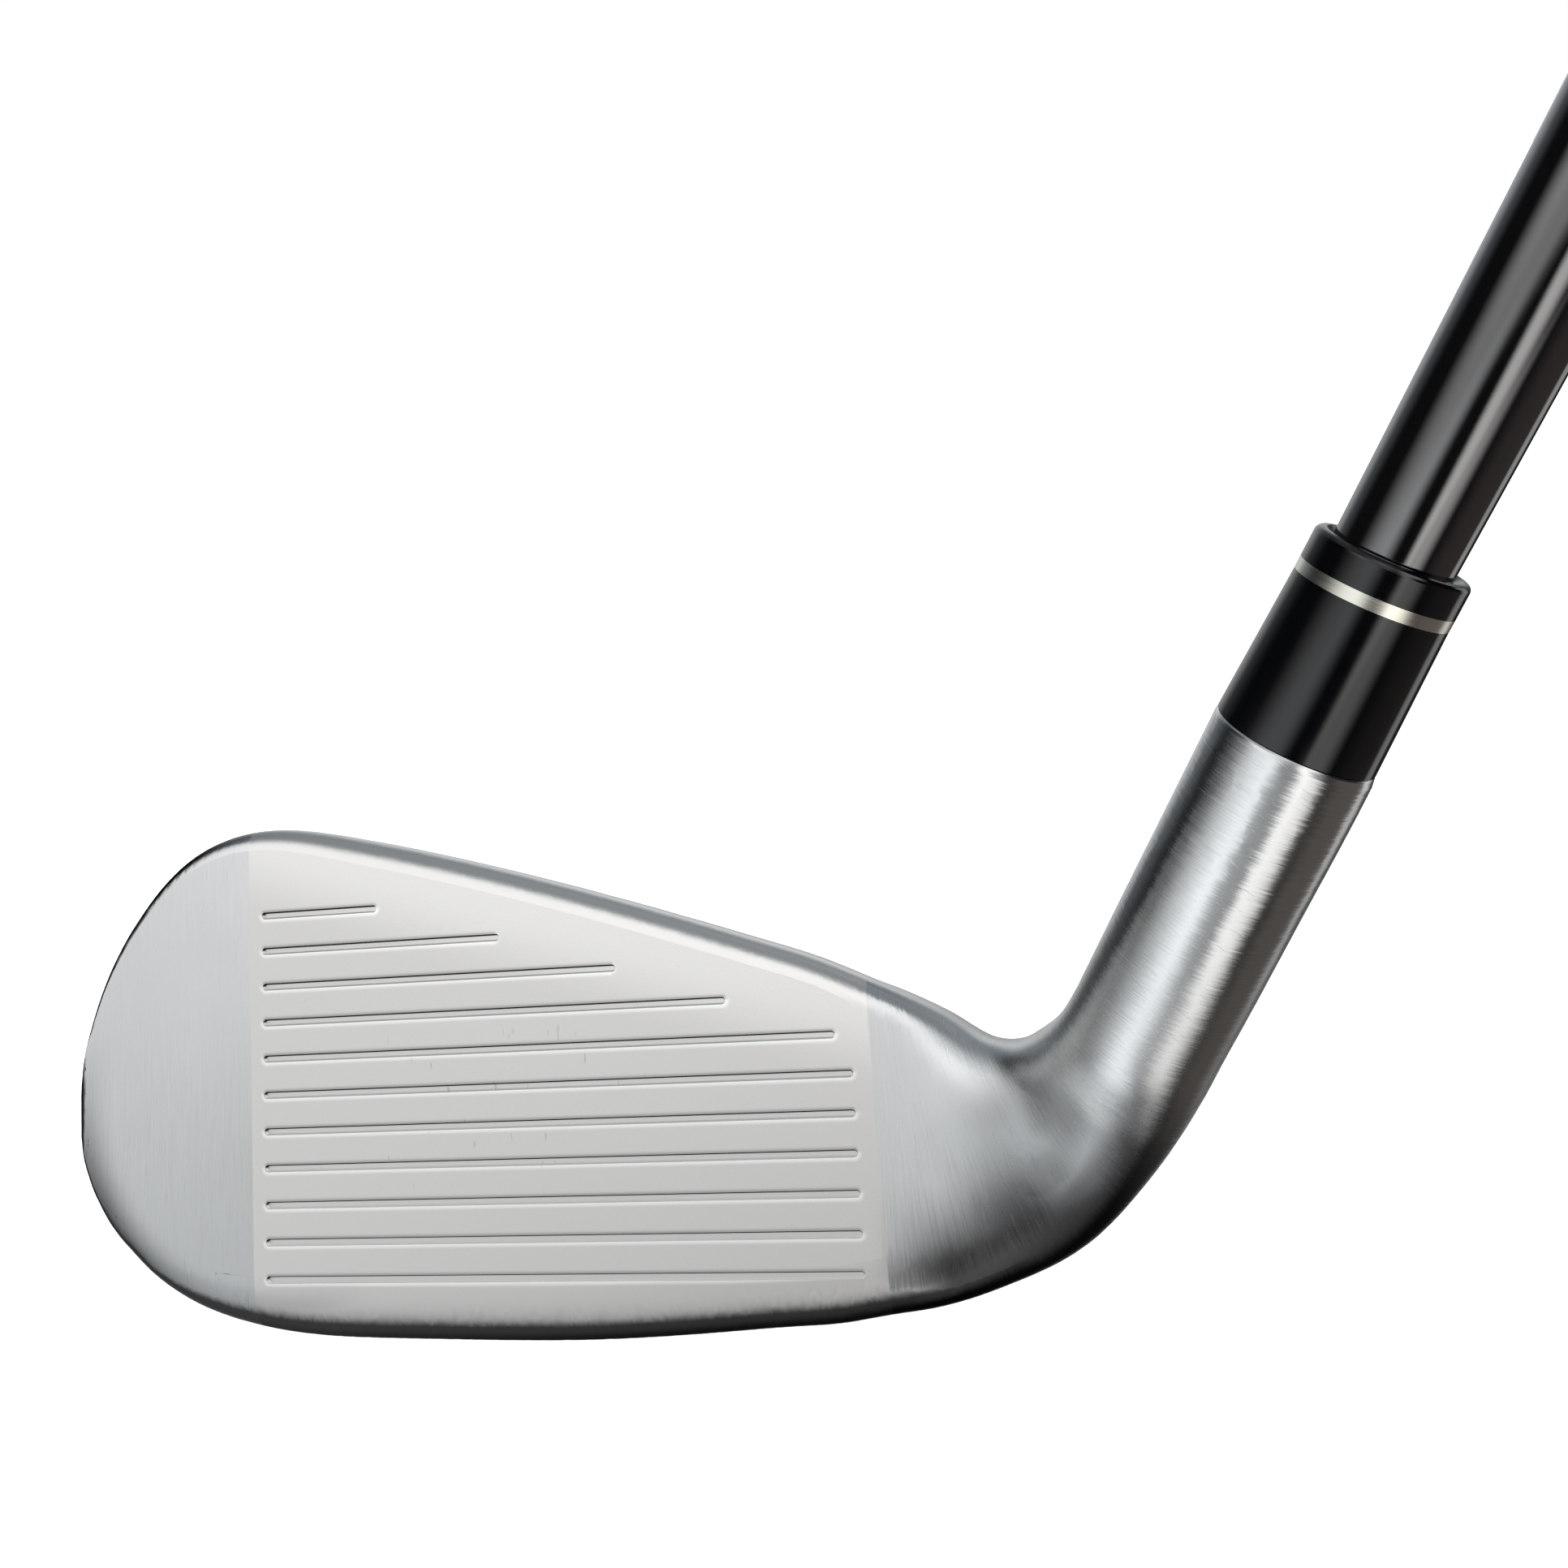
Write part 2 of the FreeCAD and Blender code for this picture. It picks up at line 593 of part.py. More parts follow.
above = HOSEL_TOP + 1        # cutters end clear of the hosel
bore = spun([(BORE_BOTTOM, 0), (BORE_BOTTOM, BORE_RADIUS), (above, BORE_RADIUS), (above, 0)])
rim_profile = []
for i in range(RIM_STEPS + 1):
    a = math.radians(90 * i / RIM_STEPS)
    station = HOSEL_TOP - RIM_ROUND * (1 - math.sin(a))
    rim_profile.append((station, RIM_RADIUS - RIM_ROUND * (1 - math.cos(a))))
# The first facet runs on outwards, so that the cutter crosses the hosel's side instead of grazing it.
(t0, r0), (t1, r1) = rim_profile[:2]
rim_profile[0] = (t0 + (t0 - t1) * RIM_STEPS, r0 + (r0 - r1) * RIM_STEPS)
rim_cut = spun(rim_profile + [(above, RIM_RADIUS - RIM_ROUND), (above, RIM_CUT_RADIUS),
                              (rim_profile[0][0], RIM_CUT_RADIUS)])
head = head.cut(bore).cut(rim_cut).cut(tip_back(cavity_tool()))

full_lines = LINE_COUNT - SHORT_LINES
lengths = [LINE_LENGTH] * full_lines + SHORT_LENGTHS
cutters = [tip_back(score_line(i * LINE_PITCH, length)) for i, length in enumerate(lengths)]
head = head.cut(Part.makeCompound(cutters))
export("head_body", head)

# Behind the face: tape on the upper part, a soft pad on the lower part, and the badge over both.
tape = plate(-FACE_THICKNESS, -FACE_THICKNESS - TAPE_LAYER, BADGE_GAP + TAPE_INSET)
upper = Part.makeBox(*TRIM_BOX, Vector(-TRIM_BOX[0] / 2, SPLIT_V + SPLIT_GAP / 2, -TRIM_BOX[2]))
lower = Part.makeBox(*TRIM_BOX, Vector(-TRIM_BOX[0] / 2, SPLIT_V - SPLIT_GAP / 2 - TRIM_BOX[1], -TRIM_BOX[2]))
export("badge_adhesive", tip_back(tape.common(upper)))
export("damping_pad", tip_back(tape.common(lower)))

badge_front = -FACE_THICKNESS - TAPE_LAYER
badge_back = badge_front - BADGE_THICKNESS
badge = plate(badge_front, badge_back, BADGE_GAP)
back_edges = [e for e in badge.Edges if all(abs(v.Point.z - badge_back) < 1e-6 for v in e.Vertexes)]
badge = badge.makeChamfer(BADGE_CHAMFER, back_edges)
export("cavity_badge", tip_back(badge))

# ---- ferrule ----------------------------------------------------------------------------------------
export("ferrule_sleeve", spun([(HOSEL_TOP, BORE_RADIUS), (HOSEL_TOP, SLEEVE_BOTTOM_RADIUS),
                               (RING_LOW, RING_RADIUS), (RING_LOW, BORE_RADIUS)]))
export("ferrule_ring", spun([(RING_LOW, BORE_RADIUS), (RING_LOW, RING_RADIUS),
                             (RING_HIGH, RING_RADIUS), (RING_HIGH, BORE_RADIUS)]))


def round_profile(station, radius, size, steps):
    """Quarter round at the top outer corner of a spun part."""
    points = []
    for i in range(steps + 1):
        a = math.radians(90 * i / steps)
        points.append((station - size + size * math.sin(a), radius - size + size * math.cos(a)))
    return points


collar_edge = round_profile(COLLAR_TOP, COLLAR_RADIUS, COLLAR_ROUND, ROUND_STEPS)
export("ferrule_collar", spun([(RING_HIGH, BORE_RADIUS), (RING_HIGH, RING_RADIUS)] + collar_edge
                              + [(COLLAR_TOP, BORE_RADIUS + COLLAR_RECESS),
                                 (COLLAR_TOP - COLLAR_RECESS, BORE_RADIUS)]))

# ---- shaft and what sits in its tip -------------------------------------------------------------------
FLANGE = 1.2                 # of the tip weight, between the bore's floor and the shaft
SHAFT_START = BORE_BOTTOM + FLANGE
SOLE_STATION = -5.6          # where the club's length is measured from
CLUB_TOP = SOLE_STATION + CLUB_LENGTH
SHAFT_END = CLUB_TOP - CAP_FLOOR
BORE_AT_TIP = TIP_RADIUS - TIP_WALL
BORE_GAIN = 0.2              # the shaft's inside widens by this much over the parallel tip
PIN_LENGTH = 14.0
PLUG_LENGTH = 8.0


def shaft_radius(station):
    share = max(0.0, (station - SHAFT_START - TIP_PARALLEL) / (SHAFT_END - SHAFT_START - TIP_PARALLEL))
    return mix(TIP_RADIUS, BUTT_RADIUS, share)


TAPER_START = SHAFT_START + TIP_PARALLEL
export("shaft", spun([(SHAFT_START, BORE_AT_TIP), (SHAFT_START, TIP_RADIUS), (TAPER_START, TIP_RADIUS),
                      (SHAFT_END, BUTT_RADIUS), (SHAFT_END, BUTT_RADIUS - BUTT_WALL),
                      (TAPER_START, BORE_AT_TIP + BORE_GAIN)]))

FLANGE_RADIUS = BORE_RADIUS - 0.15
PIN_RADIUS = BORE_AT_TIP - 0.1
PIN_END = SHAFT_START + PIN_LENGTH
export("tip_weight", spun([(BORE_BOTTOM, 0), (BORE_BOTTOM, FLANGE_RADIUS), (SHAFT_START, FLANGE_RADIUS),
                           (SHAFT_START, PIN_RADIUS), (PIN_END, PIN_RADIUS), (PIN_END, 0)]))
PLUG_RADIUS = BORE_AT_TIP - 0.02
PLUG_END = PIN_END + PLUG_LENGTH
export("tip_plug", spun([(PIN_END, 0), (PIN_END, PLUG_RADIUS), (PLUG_END, PLUG_RADIUS), (PLUG_END, 0)]))
export("hosel_epoxy", spun([(SHAFT_START, TIP_RADIUS), (SHAFT_START, BORE_RADIUS),
                            (HOSEL_TOP, BORE_RADIUS), (HOSEL_TOP, TIP_RADIUS)]))
GLUE_TOP = COLLAR_TOP - COLLAR_RECESS - 0.2       # the glue stops just short of the collar's recess
export("ferrule_epoxy", spun([(HOSEL_TOP, TIP_RADIUS), (HOSEL_TOP, BORE_RADIUS),
                              (GLUE_TOP, BORE_RADIUS), (GLUE_TOP, TIP_RADIUS)]))

# ---- grip -------------------------------------------------------------------------------------------
GRIP_START = CLUB_TOP - GRIP_LENGTH
CAP_START = CLUB_TOP - CAP_LENGTH
TAPE_START = GRIP_START + TAPE_BACK
export("grip_tape", spun([(TAPE_START, shaft_radius(TAPE_START)),
                          (TAPE_START, shaft_radius(TAPE_START) + TAPE_THICKNESS),
                          (SHAFT_END, BUTT_RADIUS + TAPE_THICKNESS), (SHAFT_END, BUTT_RADIUS)]))


def grip_radius(station):
    share = (station - GRIP_START) / (CLUB_TOP - GRIP_START)
    return mix(GRIP_MOUTH_RADIUS, GRIP_BUTT_RADIUS, share ** GRIP_SWELL)


BAND_END = GRIP_START + MOUTH_BAND
outer = [(GRIP_START, GRIP_MOUTH_RADIUS - MOUTH_CHAMFER),
         (GRIP_START + MOUTH_CHAMFER, GRIP_MOUTH_RADIUS + BAND_PROUD),
         (BAND_END, grip_radius(BAND_END) + BAND_PROUD), (BAND_END + MOUTH_CHAMFER, grip_radius(BAND_END))]
for i in range(1, GRIP_STEPS + 1):
    station = mix(BAND_END, CAP_START, i / GRIP_STEPS)
    outer.append((station, grip_radius(station)))
inner = [(CAP_START, shaft_radius(CAP_START) + TAPE_THICKNESS),
         (TAPE_START, shaft_radius(TAPE_START) + TAPE_THICKNESS),
         (TAPE_START, shaft_radius(TAPE_START)), (GRIP_START, shaft_radius(GRIP_START))]
export("grip_sleeve", spun(outer + inner))

dome = []
for i in range(DOME_STEPS + 1):
    a = math.radians(90 * i / DOME_STEPS)
    dome.append((CLUB_TOP - CAP_DOME * (1 - math.sin(a)), GRIP_BUTT_RADIUS - CAP_ROUND * (1 - math.cos(a))))
cap_foot = [(CAP_START, shaft_radius(CAP_START) + TAPE_THICKNESS), (CAP_START, GRIP_BUTT_RADIUS)]
cap_vent = [(CLUB_TOP, VENT_RADIUS), (SHAFT_END, VENT_RADIUS), (SHAFT_END, BUTT_RADIUS + TAPE_THICKNESS)]
export("grip_end_cap", spun(cap_foot + dome + cap_vent))
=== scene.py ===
import math

import bpy
from mathutils import Matrix, Vector


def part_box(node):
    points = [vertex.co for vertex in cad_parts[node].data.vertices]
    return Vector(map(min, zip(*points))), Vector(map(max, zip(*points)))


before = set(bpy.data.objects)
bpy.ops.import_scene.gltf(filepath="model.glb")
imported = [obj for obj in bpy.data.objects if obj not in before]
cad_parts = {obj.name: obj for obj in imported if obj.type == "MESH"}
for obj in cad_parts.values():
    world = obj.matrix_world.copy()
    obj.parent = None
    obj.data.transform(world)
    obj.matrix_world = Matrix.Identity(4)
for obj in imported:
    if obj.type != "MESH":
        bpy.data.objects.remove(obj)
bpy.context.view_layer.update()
MM = 0.001

# ---- the club's own axes, repeated from its drawing (millimetres and degrees) ------------------------
LOFT = math.radians(27.0)
LIE = math.radians(62.0)
FACE_MIDDLE_U = 29.75                     # face coordinates of the row frame's origin
FACE_MIDDLE_V = 16.002
FACE_UP = Vector((0.0, math.sin(LOFT), math.cos(LOFT)))
FACE_OUT = Vector((0.0, -math.cos(LOFT), math.sin(LOFT)))
AXIS_FOOT = Vector((42.97, -2.578, -16.646))      # station 0 of the shaft's axis
SHAFT_DIR = Vector((math.cos(LIE), 0.0, math.sin(LIE)))
HEEL_SIDE = Vector((SHAFT_DIR.z, 0.0, -SHAFT_DIR.x))

# Between the blade and the hosel the hairlines fan out round a pivot above the crotch.
FAN_START_U = 62.0
FAN_END_STATION = 27.0
PIVOT_X = FAN_START_U - FACE_MIDDLE_U
PIVOT_Z = AXIS_FOOT.z + (FAN_END_STATION - (PIVOT_X - AXIS_FOOT.x) * SHAFT_DIR.x) / SHAFT_DIR.z
SWEEP_RADIUS = 28.0                       # how far from the pivot the hairlines are paced

# ---- camera ---------------------------------------------------------------------------------------
camera_data = bpy.data.cameras.new("camera")
camera = bpy.data.objects.new("camera", camera_data)
bpy.context.collection.objects.link(camera)
camera_data.sensor_width = 36.0
camera_data.lens = 33.994
camera_data.clip_start = 0.005
camera_data.clip_end = 50.0
CAMERA_SPOT = Vector((54.393, -114.14, 72.03)) * MM
RIGHT = Vector((0.97373, 0.17219, -0.14903))
FORWARD = Vector((-0.21360, 0.91749, -0.33557))
forward = FORWARD.normalized()
right = (RIGHT - forward * RIGHT.dot(forward)).normalized()
camera_up = right.cross(forward)
turn = Matrix((right, camera_up, -forward)).transposed()
camera.matrix_world = Matrix.Translation(CAMERA_SPOT) @ turn.to_4x4()
bpy.context.scene.camera = camera
bpy.context.scene.view_settings.view_transform = "Standard"


# ---- small node helpers -----------------------------------------------------------------------------
class Graph:
    """Builds a node tree in the order it is read."""

    def __init__(self, tree):
        self.tree = tree

    def add(self, kind, **settings):
        node = self.tree.nodes.new(kind)
        for name, value in settings.items():
            setattr(node, name, value)
        return node

    def join(self, value, socket):
        if isinstance(value, bpy.types.NodeSocket):
            self.tree.links.new(value, socket)
        else:
            socket.default_value = value

    def math(self, operation, a, b=0.0):
        node = self.add("ShaderNodeMath", operation=operation)
        for value, socket in zip((a, b), node.inputs):
            self.join(value, socket)
        return node.outputs[0]

    def product(self, *values):
        result = values[0]
        for value in values[1:]:
            result = self.math("MULTIPLY", result, value)
        return result

    def total(self, *values):
        result = values[0]
        for value in values[1:]:
            result = self.math("ADD", result, value)
        return result

    def minus(self, a, b):
        return self.math("SUBTRACT", a, b)

    def larger(self, a, b):
        return self.math("MAXIMUM", a, b)

    def rest(self, share):
        """What a share leaves of one."""
        return self.minus(1.0, share)

    def length(self, a, b):
        """The length of a step of a one way and b square to it."""
        return self.math("SQRT", self.total(self.product(a, a), self.product(b, b)))

    def vector(self, operation, a, b=(0, 0, 0)):
        node = self.add("ShaderNodeVectorMath", operation=operation)
        self.join(a, node.inputs[0])
        self.join(b, node.inputs[1])
        return node.outputs["Value"] if operation == "DOT_PRODUCT" else node.outputs["Vector"]

    def combine(self, x, y, z):
        node = self.add("ShaderNodeCombineXYZ")
        for value, socket in zip((x, y, z), node.inputs):
            self.join(value, socket)
        return node.outputs[0]

    def fade(self, value, start, end, low=0.0, high=1.0, kind="SMOOTHSTEP"):
        """low up to start, high from end on, smooth between."""
        node = self.add("ShaderNodeMapRange", interpolation_type=kind)
        self.join(value, node.inputs["Value"])
        node.inputs["From Min"].default_value = start
        node.inputs["From Max"].default_value = end
        self.join(low, node.inputs["To Min"])
        self.join(high, node.inputs["To Max"])
        return node.outputs["Result"]

    def bell(self, value, centre, width):
        """1 at the centre, falling off smoothly on both sides."""
        offset = self.math("DIVIDE", self.minus(value, centre), width)
        return self.math("EXPONENT", self.product(offset, offset, -1.0))

    def noise(self, coords, scale=1.0, detail=2.0, roughness=0.5):
        node = self.add("ShaderNodeTexNoise")
        self.join(coords, node.inputs["Vector"])
        node.inputs["Scale"].default_value = scale
        node.inputs["Detail"].default_value = detail
        node.inputs["Roughness"].default_value = roughness
        return node.outputs["Fac"]

    def stretched_noise(self, parts, rates, detail=2.0, roughness=0.5):
        """Noise whose grain has its own rate (per millimetre) along each of three coordinates."""
        paced = [self.product(part, rate) for part, rate in zip(parts, rates)]
        return self.noise(self.combine(*paced), 1.0, detail, roughness)

    def scaled(self, vector, amount):
        node = self.add("ShaderNodeVectorMath", operation="SCALE")
        self.join(vector, node.inputs[0])
        self.join(amount, node.inputs["Scale"])
        return node.outputs["Vector"]

    def split(self, vector):
        node = self.add("ShaderNodeSeparateXYZ")
        self.join(vector, node.inputs[0])
        return node.outputs

    def bump(self, height, depth_mm, normal=None, strength=1.0):
        """Surface relief: height 0 to 1 over a depth in millimetres."""
        node = self.add("ShaderNodeBump")
        self.join(height, node.inputs["Height"])
        node.inputs["Distance"].default_value = depth_mm * MM
        self.join(strength, node.inputs["Strength"])
        if normal is not None:
            self.join(normal, node.inputs["Normal"])
        return node.outputs["Normal"]

    def blend(self, share, a, b):
        """Colour a turning into colour b."""
        node = self.add("ShaderNodeMix", data_type="RGBA")
        self.join(share, node.inputs["Factor"])
        self.join(a, node.inputs[6])
        self.join(b, node.inputs[7])
        return node.outputs[2]


def fresh(name):
    material = bpy.data.materials.new(name)
    material.use_nodes = True
    return material, Graph(material.node_tree), material.node_tree.nodes["Principled BSDF"]


# ---- coordinates on the club --------------------------------------------------------------------------
class Spot:
    """Where a shaded point sits on the club, in millimetres, from its object coordinates.

    u, v and n are face coordinates; station and across run along the shaft's axis and square to it, and
    around is the angle about it. swing is the angle round the bend's pivot, 0 on the blade, LIE on the
    hosel. run paces the hairlines along the blade, round the bend and up the hosel.
    """

    def __init__(self, graph):
        raw = graph.add("ShaderNodeTexCoord").outputs["Object"]
        self.place = graph.vector("MULTIPLY", raw, (1 / MM, 1 / MM, 1 / MM))
        self.x, self.y, self.z = graph.split(self.place)
        self.u = graph.math("ADD", self.x, FACE_MIDDLE_U)
        self.v = graph.math("ADD", graph.vector("DOT_PRODUCT", self.place, FACE_UP), FACE_MIDDLE_V)
        self.n = graph.vector("DOT_PRODUCT", self.place, FACE_OUT)
        from_foot = graph.vector("SUBTRACT", self.place, AXIS_FOOT)
        self.station = graph.vector("DOT_PRODUCT", from_foot, SHAFT_DIR)
        self.across = graph.vector("DOT_PRODUCT", from_foot, HEEL_SIDE)
        front = graph.vector("DOT_PRODUCT", from_foot, (0.0, -1.0, 0.0))
        self.around = graph.math("ARCTAN2", self.across, front)
        past_pivot = graph.minus(self.x, PIVOT_X)
        below_pivot = graph.minus(PIVOT_Z, self.z)
        self.from_pivot = graph.length(past_pivot, below_pivot)
        swing = graph.math("ARCTAN2", past_pivot, below_pivot)
        self.swing = graph.math("MINIMUM", graph.larger(swing, 0.0), LIE)
        along_blade = graph.math("MINIMUM", past_pivot, 0.0)
        up_hosel = graph.larger(graph.minus(self.station, FAN_END_STATION), 0.0)
        self.run = graph.total(along_blade, graph.product(self.swing, SWEEP_RADIUS), up_hosel)


# ---- stage ----------------------------------------------------------------------------------------
FLOOR_SIZE = 30
FLOOR_GAP = 0.1                           # millimetres under the sole, so that the two never meet
FLOOR_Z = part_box("head_body")[0][2] - FLOOR_GAP * MM
bpy.ops.mesh.primitive_plane_add(size=FLOOR_SIZE, location=(0, 0, FLOOR_Z))
floor = bpy.context.object
floor.name = "floor"
paper, graph, shader = fresh("floor_paper")
shader.inputs["Base Color"].default_value = (0.9, 0.9, 0.9, 1)
shader.inputs["Roughness"].default_value = 0.95
shader.inputs["Specular IOR Level"].default_value = 0.0
floor.data.materials.append(paper)
floor.visible_glossy = False

# The studio's surroundings, as the metal sees them: two tall soft windows in front, left and right of a
# narrow dark gap, a broad bright sky above them, dim walls at the sides and behind, a dim ceiling and a
# dark floor. The camera itself sees plain white.
world = bpy.data.worlds.new("studio")
bpy.context.scene.world = world
world.use_nodes = True
world.node_tree.nodes.clear()
graph = Graph(world.node_tree)
x, y, z = graph.split(graph.add("ShaderNodeTexCoord").outputs["Generated"])
TO_DEGREES = 180 / math.pi
azimuth = graph.product(graph.math("ARCTAN2", x, graph.product(y, -1.0)), TO_DEGREES)
elevation = graph.product(graph.math("ARCSINE", z), TO_DEGREES)

WARM = (1.0, 0.985, 0.965)
COOL = (0.95, 0.985, 1.0)
SKY = (0.84, 0.93, 1.0)
BROWN = (1.0, 0.86, 0.77)
PALE = (0.99, 1.0, 1.0)


def glow(azimuths, elevations, strength, colour):
    """A soft-edged panel of light; each tuple is start, full from, full to, end, in degrees.

    Azimuth 0 is straight in front of the face and grows towards the heel.
    """
    left, full_left, full_right, right_end = azimuths
    low, full_low, full_high, high = elevations
    start = graph.fade(azimuth, left, full_left)
    stop = graph.fade(azimuth, full_right, right_end, 1.0, 0.0)
    rise = graph.fade(elevation, low, full_low)
    fall = graph.fade(elevation, full_high, high, 1.0, 0.0)
    return graph.scaled(colour, graph.product(start, stop, rise, fall, strength))


ALL_ROUND = (-181, -180, 180, 181)
panels = [
    # the left window: narrow below the horizon, spreading leftwards above it
    glow((-72, -38, -35, -21), (-74, -34, -6, 2), 1.70, COOL),
    glow((-110, -42, -34, -12), (-6, 2, 7, 20), 1.30, COOL),
    # the right window, narrower at the horizon
    glow((-8, 5, 20, 41), (-66, -28, -16, -11), 1.60, WARM),
    glow((-1, 10, 14, 32), (-16, -11, 2, 12), 2.30, WARM),
    # the dim wall between them
    glow((-36, -24, -12, 4), (-24, -13, -12, -9), 0.85, COOL),
    glow((-36, -24, -12, 4), (-60, -40, -18, -12), 0.22, COOL),
    # the bright sky-light above, growing with height, and the ceiling over it
    glow((-84, -44, 0, 46), (5, 20, 50, 66), 0.93, PALE),
    glow((-84, -44, 0, 46), (20, 36, 50, 66), 0.62, PALE),
    glow(ALL_ROUND, (45, 64, 90, 91), 0.37, SKY),
    # a small lamp on the right
    glow((26, 36, 48, 62), (10, 18, 36, 48), 2.20, WARM),
    # side walls and the room behind
    glow((-140, -105, -60, -44), (-75, -50, -22, -8), 0.38, COOL),
    glow((30, 70, 100, 150), (-80, -40, -14, -6), 0.11, BROWN),
    glow((-181, -180, -150, -110), (-20, 20, 40, 60), 0.34, SKY),
    glow((110, 150, 180, 181), (-20, 20, 40, 60), 0.34, SKY),
    glow((-181, -180, -158, -138), (-70, -45, 10, 40), 0.55, PALE),
    glow((150, 172, 180, 181), (-70, -45, 10, 40), 0.55, PALE),
    glow((112, 120, 128, 142), (-60, -30, 30, 60), 0.80, PALE),
    glow(ALL_ROUND, (-91, -90, 90, 91), 0.018, COOL),
]
light_sum = panels[0]
for panel in panels[1:]:
    light_sum = graph.vector("ADD", light_sum, panel)
light = graph.add("ShaderNodeBackground")
graph.join(light_sum, light.inputs["Color"])
backdrop = graph.add("ShaderNodeBackground")
backdrop.inputs["Color"].default_value = (1, 1, 1, 1)
mix = graph.add("ShaderNodeMixShader")
graph.join(graph.add("ShaderNodeLightPath").outputs["Is Camera Ray"], mix.inputs[0])
graph.join(light.outputs[0], mix.inputs[1])
graph.join(backdrop.outputs[0], mix.inputs[2])
graph.join(mix.outputs[0], graph.add("ShaderNodeOutputWorld").inputs["Surface"])

# A wide overhead light for the floor and the rubber. Metal and lacquer don't mirror it, and it casts no
# shadow, so that the floor stays plain.
sun_data = bpy.data.lights.new("overhead", "SUN")
sun_data.energy = 5.0
sun_data.angle = math.radians(100)
sun_data.use_shadow = False
overhead = bpy.data.objects.new("overhead", sun_data)
bpy.context.collection.objects.link(overhead)
overhead.rotation_euler = (math.radians(12), math.radians(-8), 0)
overhead.visible_glossy = False


# ---- steel of the head ---------------------------------------------------------------------------------
# The face between the two blast lines is bead-blasted. Everything else is polished with a belt, whose
# hairlines stand across the run of the blade and go round the heel and the hosel. Lengths are millimetres.
BLAST_LEFT = -1.35
BLAST_RIGHT = 61.1
BLAST_LEAN = 0.0185          # the heel end's blast line leans this much per millimetre of height
BLAST_TOP = 23.7             # the height at which BLAST_RIGHT holds
BLAST_BLUR = 0.08            # half the width of a blast line's soft edge
BLAST_BACK = -4.5            # the blasting fades out over the edges, between these two depths
BLAST_FRONT = -3.0

# Noises: rates per millimetre along the run, across it and in depth, then detail and roughness.
HAIR = ((9.0, 0.26, 0.26), 3.0, 0.65)
LONG_HAIR = ((2.2, 0.10, 0.10), 2.0, 0.6)
SCRATCH = ((5.0, 0.45, 0.45), 1.0, 0.5)
NICK = ((1.9, 0.42, 0.42), 1.0, 0.5)
CLOUDS = (0.10, 3.0, 0.55)
BLAST_GRAIN = (5.0, 2.0, 0.6)
SCRATCH_SKEW = 0.22          # the scratches stand a little off the hairlines

BELT_TONE = 0.52             # reflectance at its darkest, and what the noises add to it
CLOUD_TONE = 0.05
TOE_HAIR_TONE = 0.12
BEND_HAIR_TONE = 0.20
BLAST_TONE = 0.66
GRAIN_TONE = 0.05
TOP_GLOW = 0.13              # painted highlight: how much lighter the face turns towards the topline
NICK_TONE = -0.16
BELT_TINT = (0.985, 0.995, 1.0, 1)
BLAST_TINT = (1.0, 0.985, 0.965, 1)

LINE_PITCH = 3.556
LINE_COUNT = 11
LONG_LINES = 6               # the lowest lines are full length, the rest shorten upwards
LINE_LENGTH = 59.5
LINE_HALF = 0.35             # half a score line's width
LINE_BLUR = 0.08
FIRST_CUT = 1.5              # the first shortened line is this much shorter,
STEP_CUT = 9.7               # each further one about this much more,
STEP_GROWTH = 0.41           # growing a little with the square of the step
LINE_DEEP = -0.04            # a point deeper than this is inside a line
LINE_SHALLOW = -0.01
RIM_SHADING_REACH = 0.50              # how far the painted shade and highlight round a score line's rim reach
RIM_TONE = 0.42
RIM_END_TONE = 0.30
UPPER_WALL = (0.10, 0.34)    # heights above a line's middle between which its wall is painted darker
UPPER_WALL_SHADE = (0.04, 0.45)
LOWER_WALL = (-0.30, 0.08)   # the height at which the lower wall is painted darkest, and how far that reaches
LOWER_WALL_SHADE = 0.10
WALL_FLATTENING = 2.0        # how strongly the shading of the walls leans towards the face's own

TOP_V = 44.2                 # the topline is close to a straight line on the face, falling towards the heel
TOP_SLOPE = 0.315
TOE_MIDDLE = (0.6, 17.0)     # the toe's lower outline is close to an arc about this spot of the face (u, v)
TOE_ROUND = 22.4
HEEL_MIDDLE = (36.0, 7.0)    # and the heel's outline close to one about this X and Z
HEEL_ROUND = 25.0
UNDER_SHADE = 0.94           # painted: how much darker the edges that face down turn,
TOE_SHADE = 0.95             # the rim of the toe
HEEL_SHADE = 0.90            # and the lower corner of the heel
TOE_DIM = 0.27               # painted: how much darker the toe turns towards the sole,
BEND_DIM = 0.45              # and the middle of the bend
BEND_DIM_SWING = (0.46, 0.19)     # the swing at which the bend is darkest, and how far that reaches
STRIPE_DIM = 0.45            # painted: the dark stripe that goes on from the hosel's front into the bend
STRIPE_RADIUS = 36.5         # the stripe's distance from the pivot, and how that falls with the swing
STRIPE_FALL = 9.5
STRIPE_WIDTH = 1.5

HAIR_TILT = 0.18             # how far the hairlines throw the normal round the section, heel and hosel
TOE_TILT = 0.14              # and on the toe
BEND_SOFT = 5.0              # the radius over which the bend's normals are averaged
BELT_RELIEF = 0.0030
GRAIN_RELIEF = 0.006

BELT_ROUGH = 0.20            # roughness at its least, and what the noises add to it
HAIR_ROUGH = 0.12
SCRATCH_ROUGH = 0.06
BLAST_ROUGH = 0.38
GRAIN_ROUGH = 0.08
HIGHLIGHT_STRETCH = 0.8

steel, graph, shader = fresh("brushed_steel")
spot = Spot(graph)
plain_normal = graph.add("ShaderNodeNewGeometry").outputs["Normal"]
facing_out = graph.vector("DOT_PRODUCT", plain_normal, FACE_OUT)
facing_down = graph.product(graph.vector("DOT_PRODUCT", plain_normal, FACE_UP), -1.0)
facing_toe = graph.product(graph.split(plain_normal)[0], -1.0)
going_round = graph.fade(spot.swing, 0.05, 0.60)

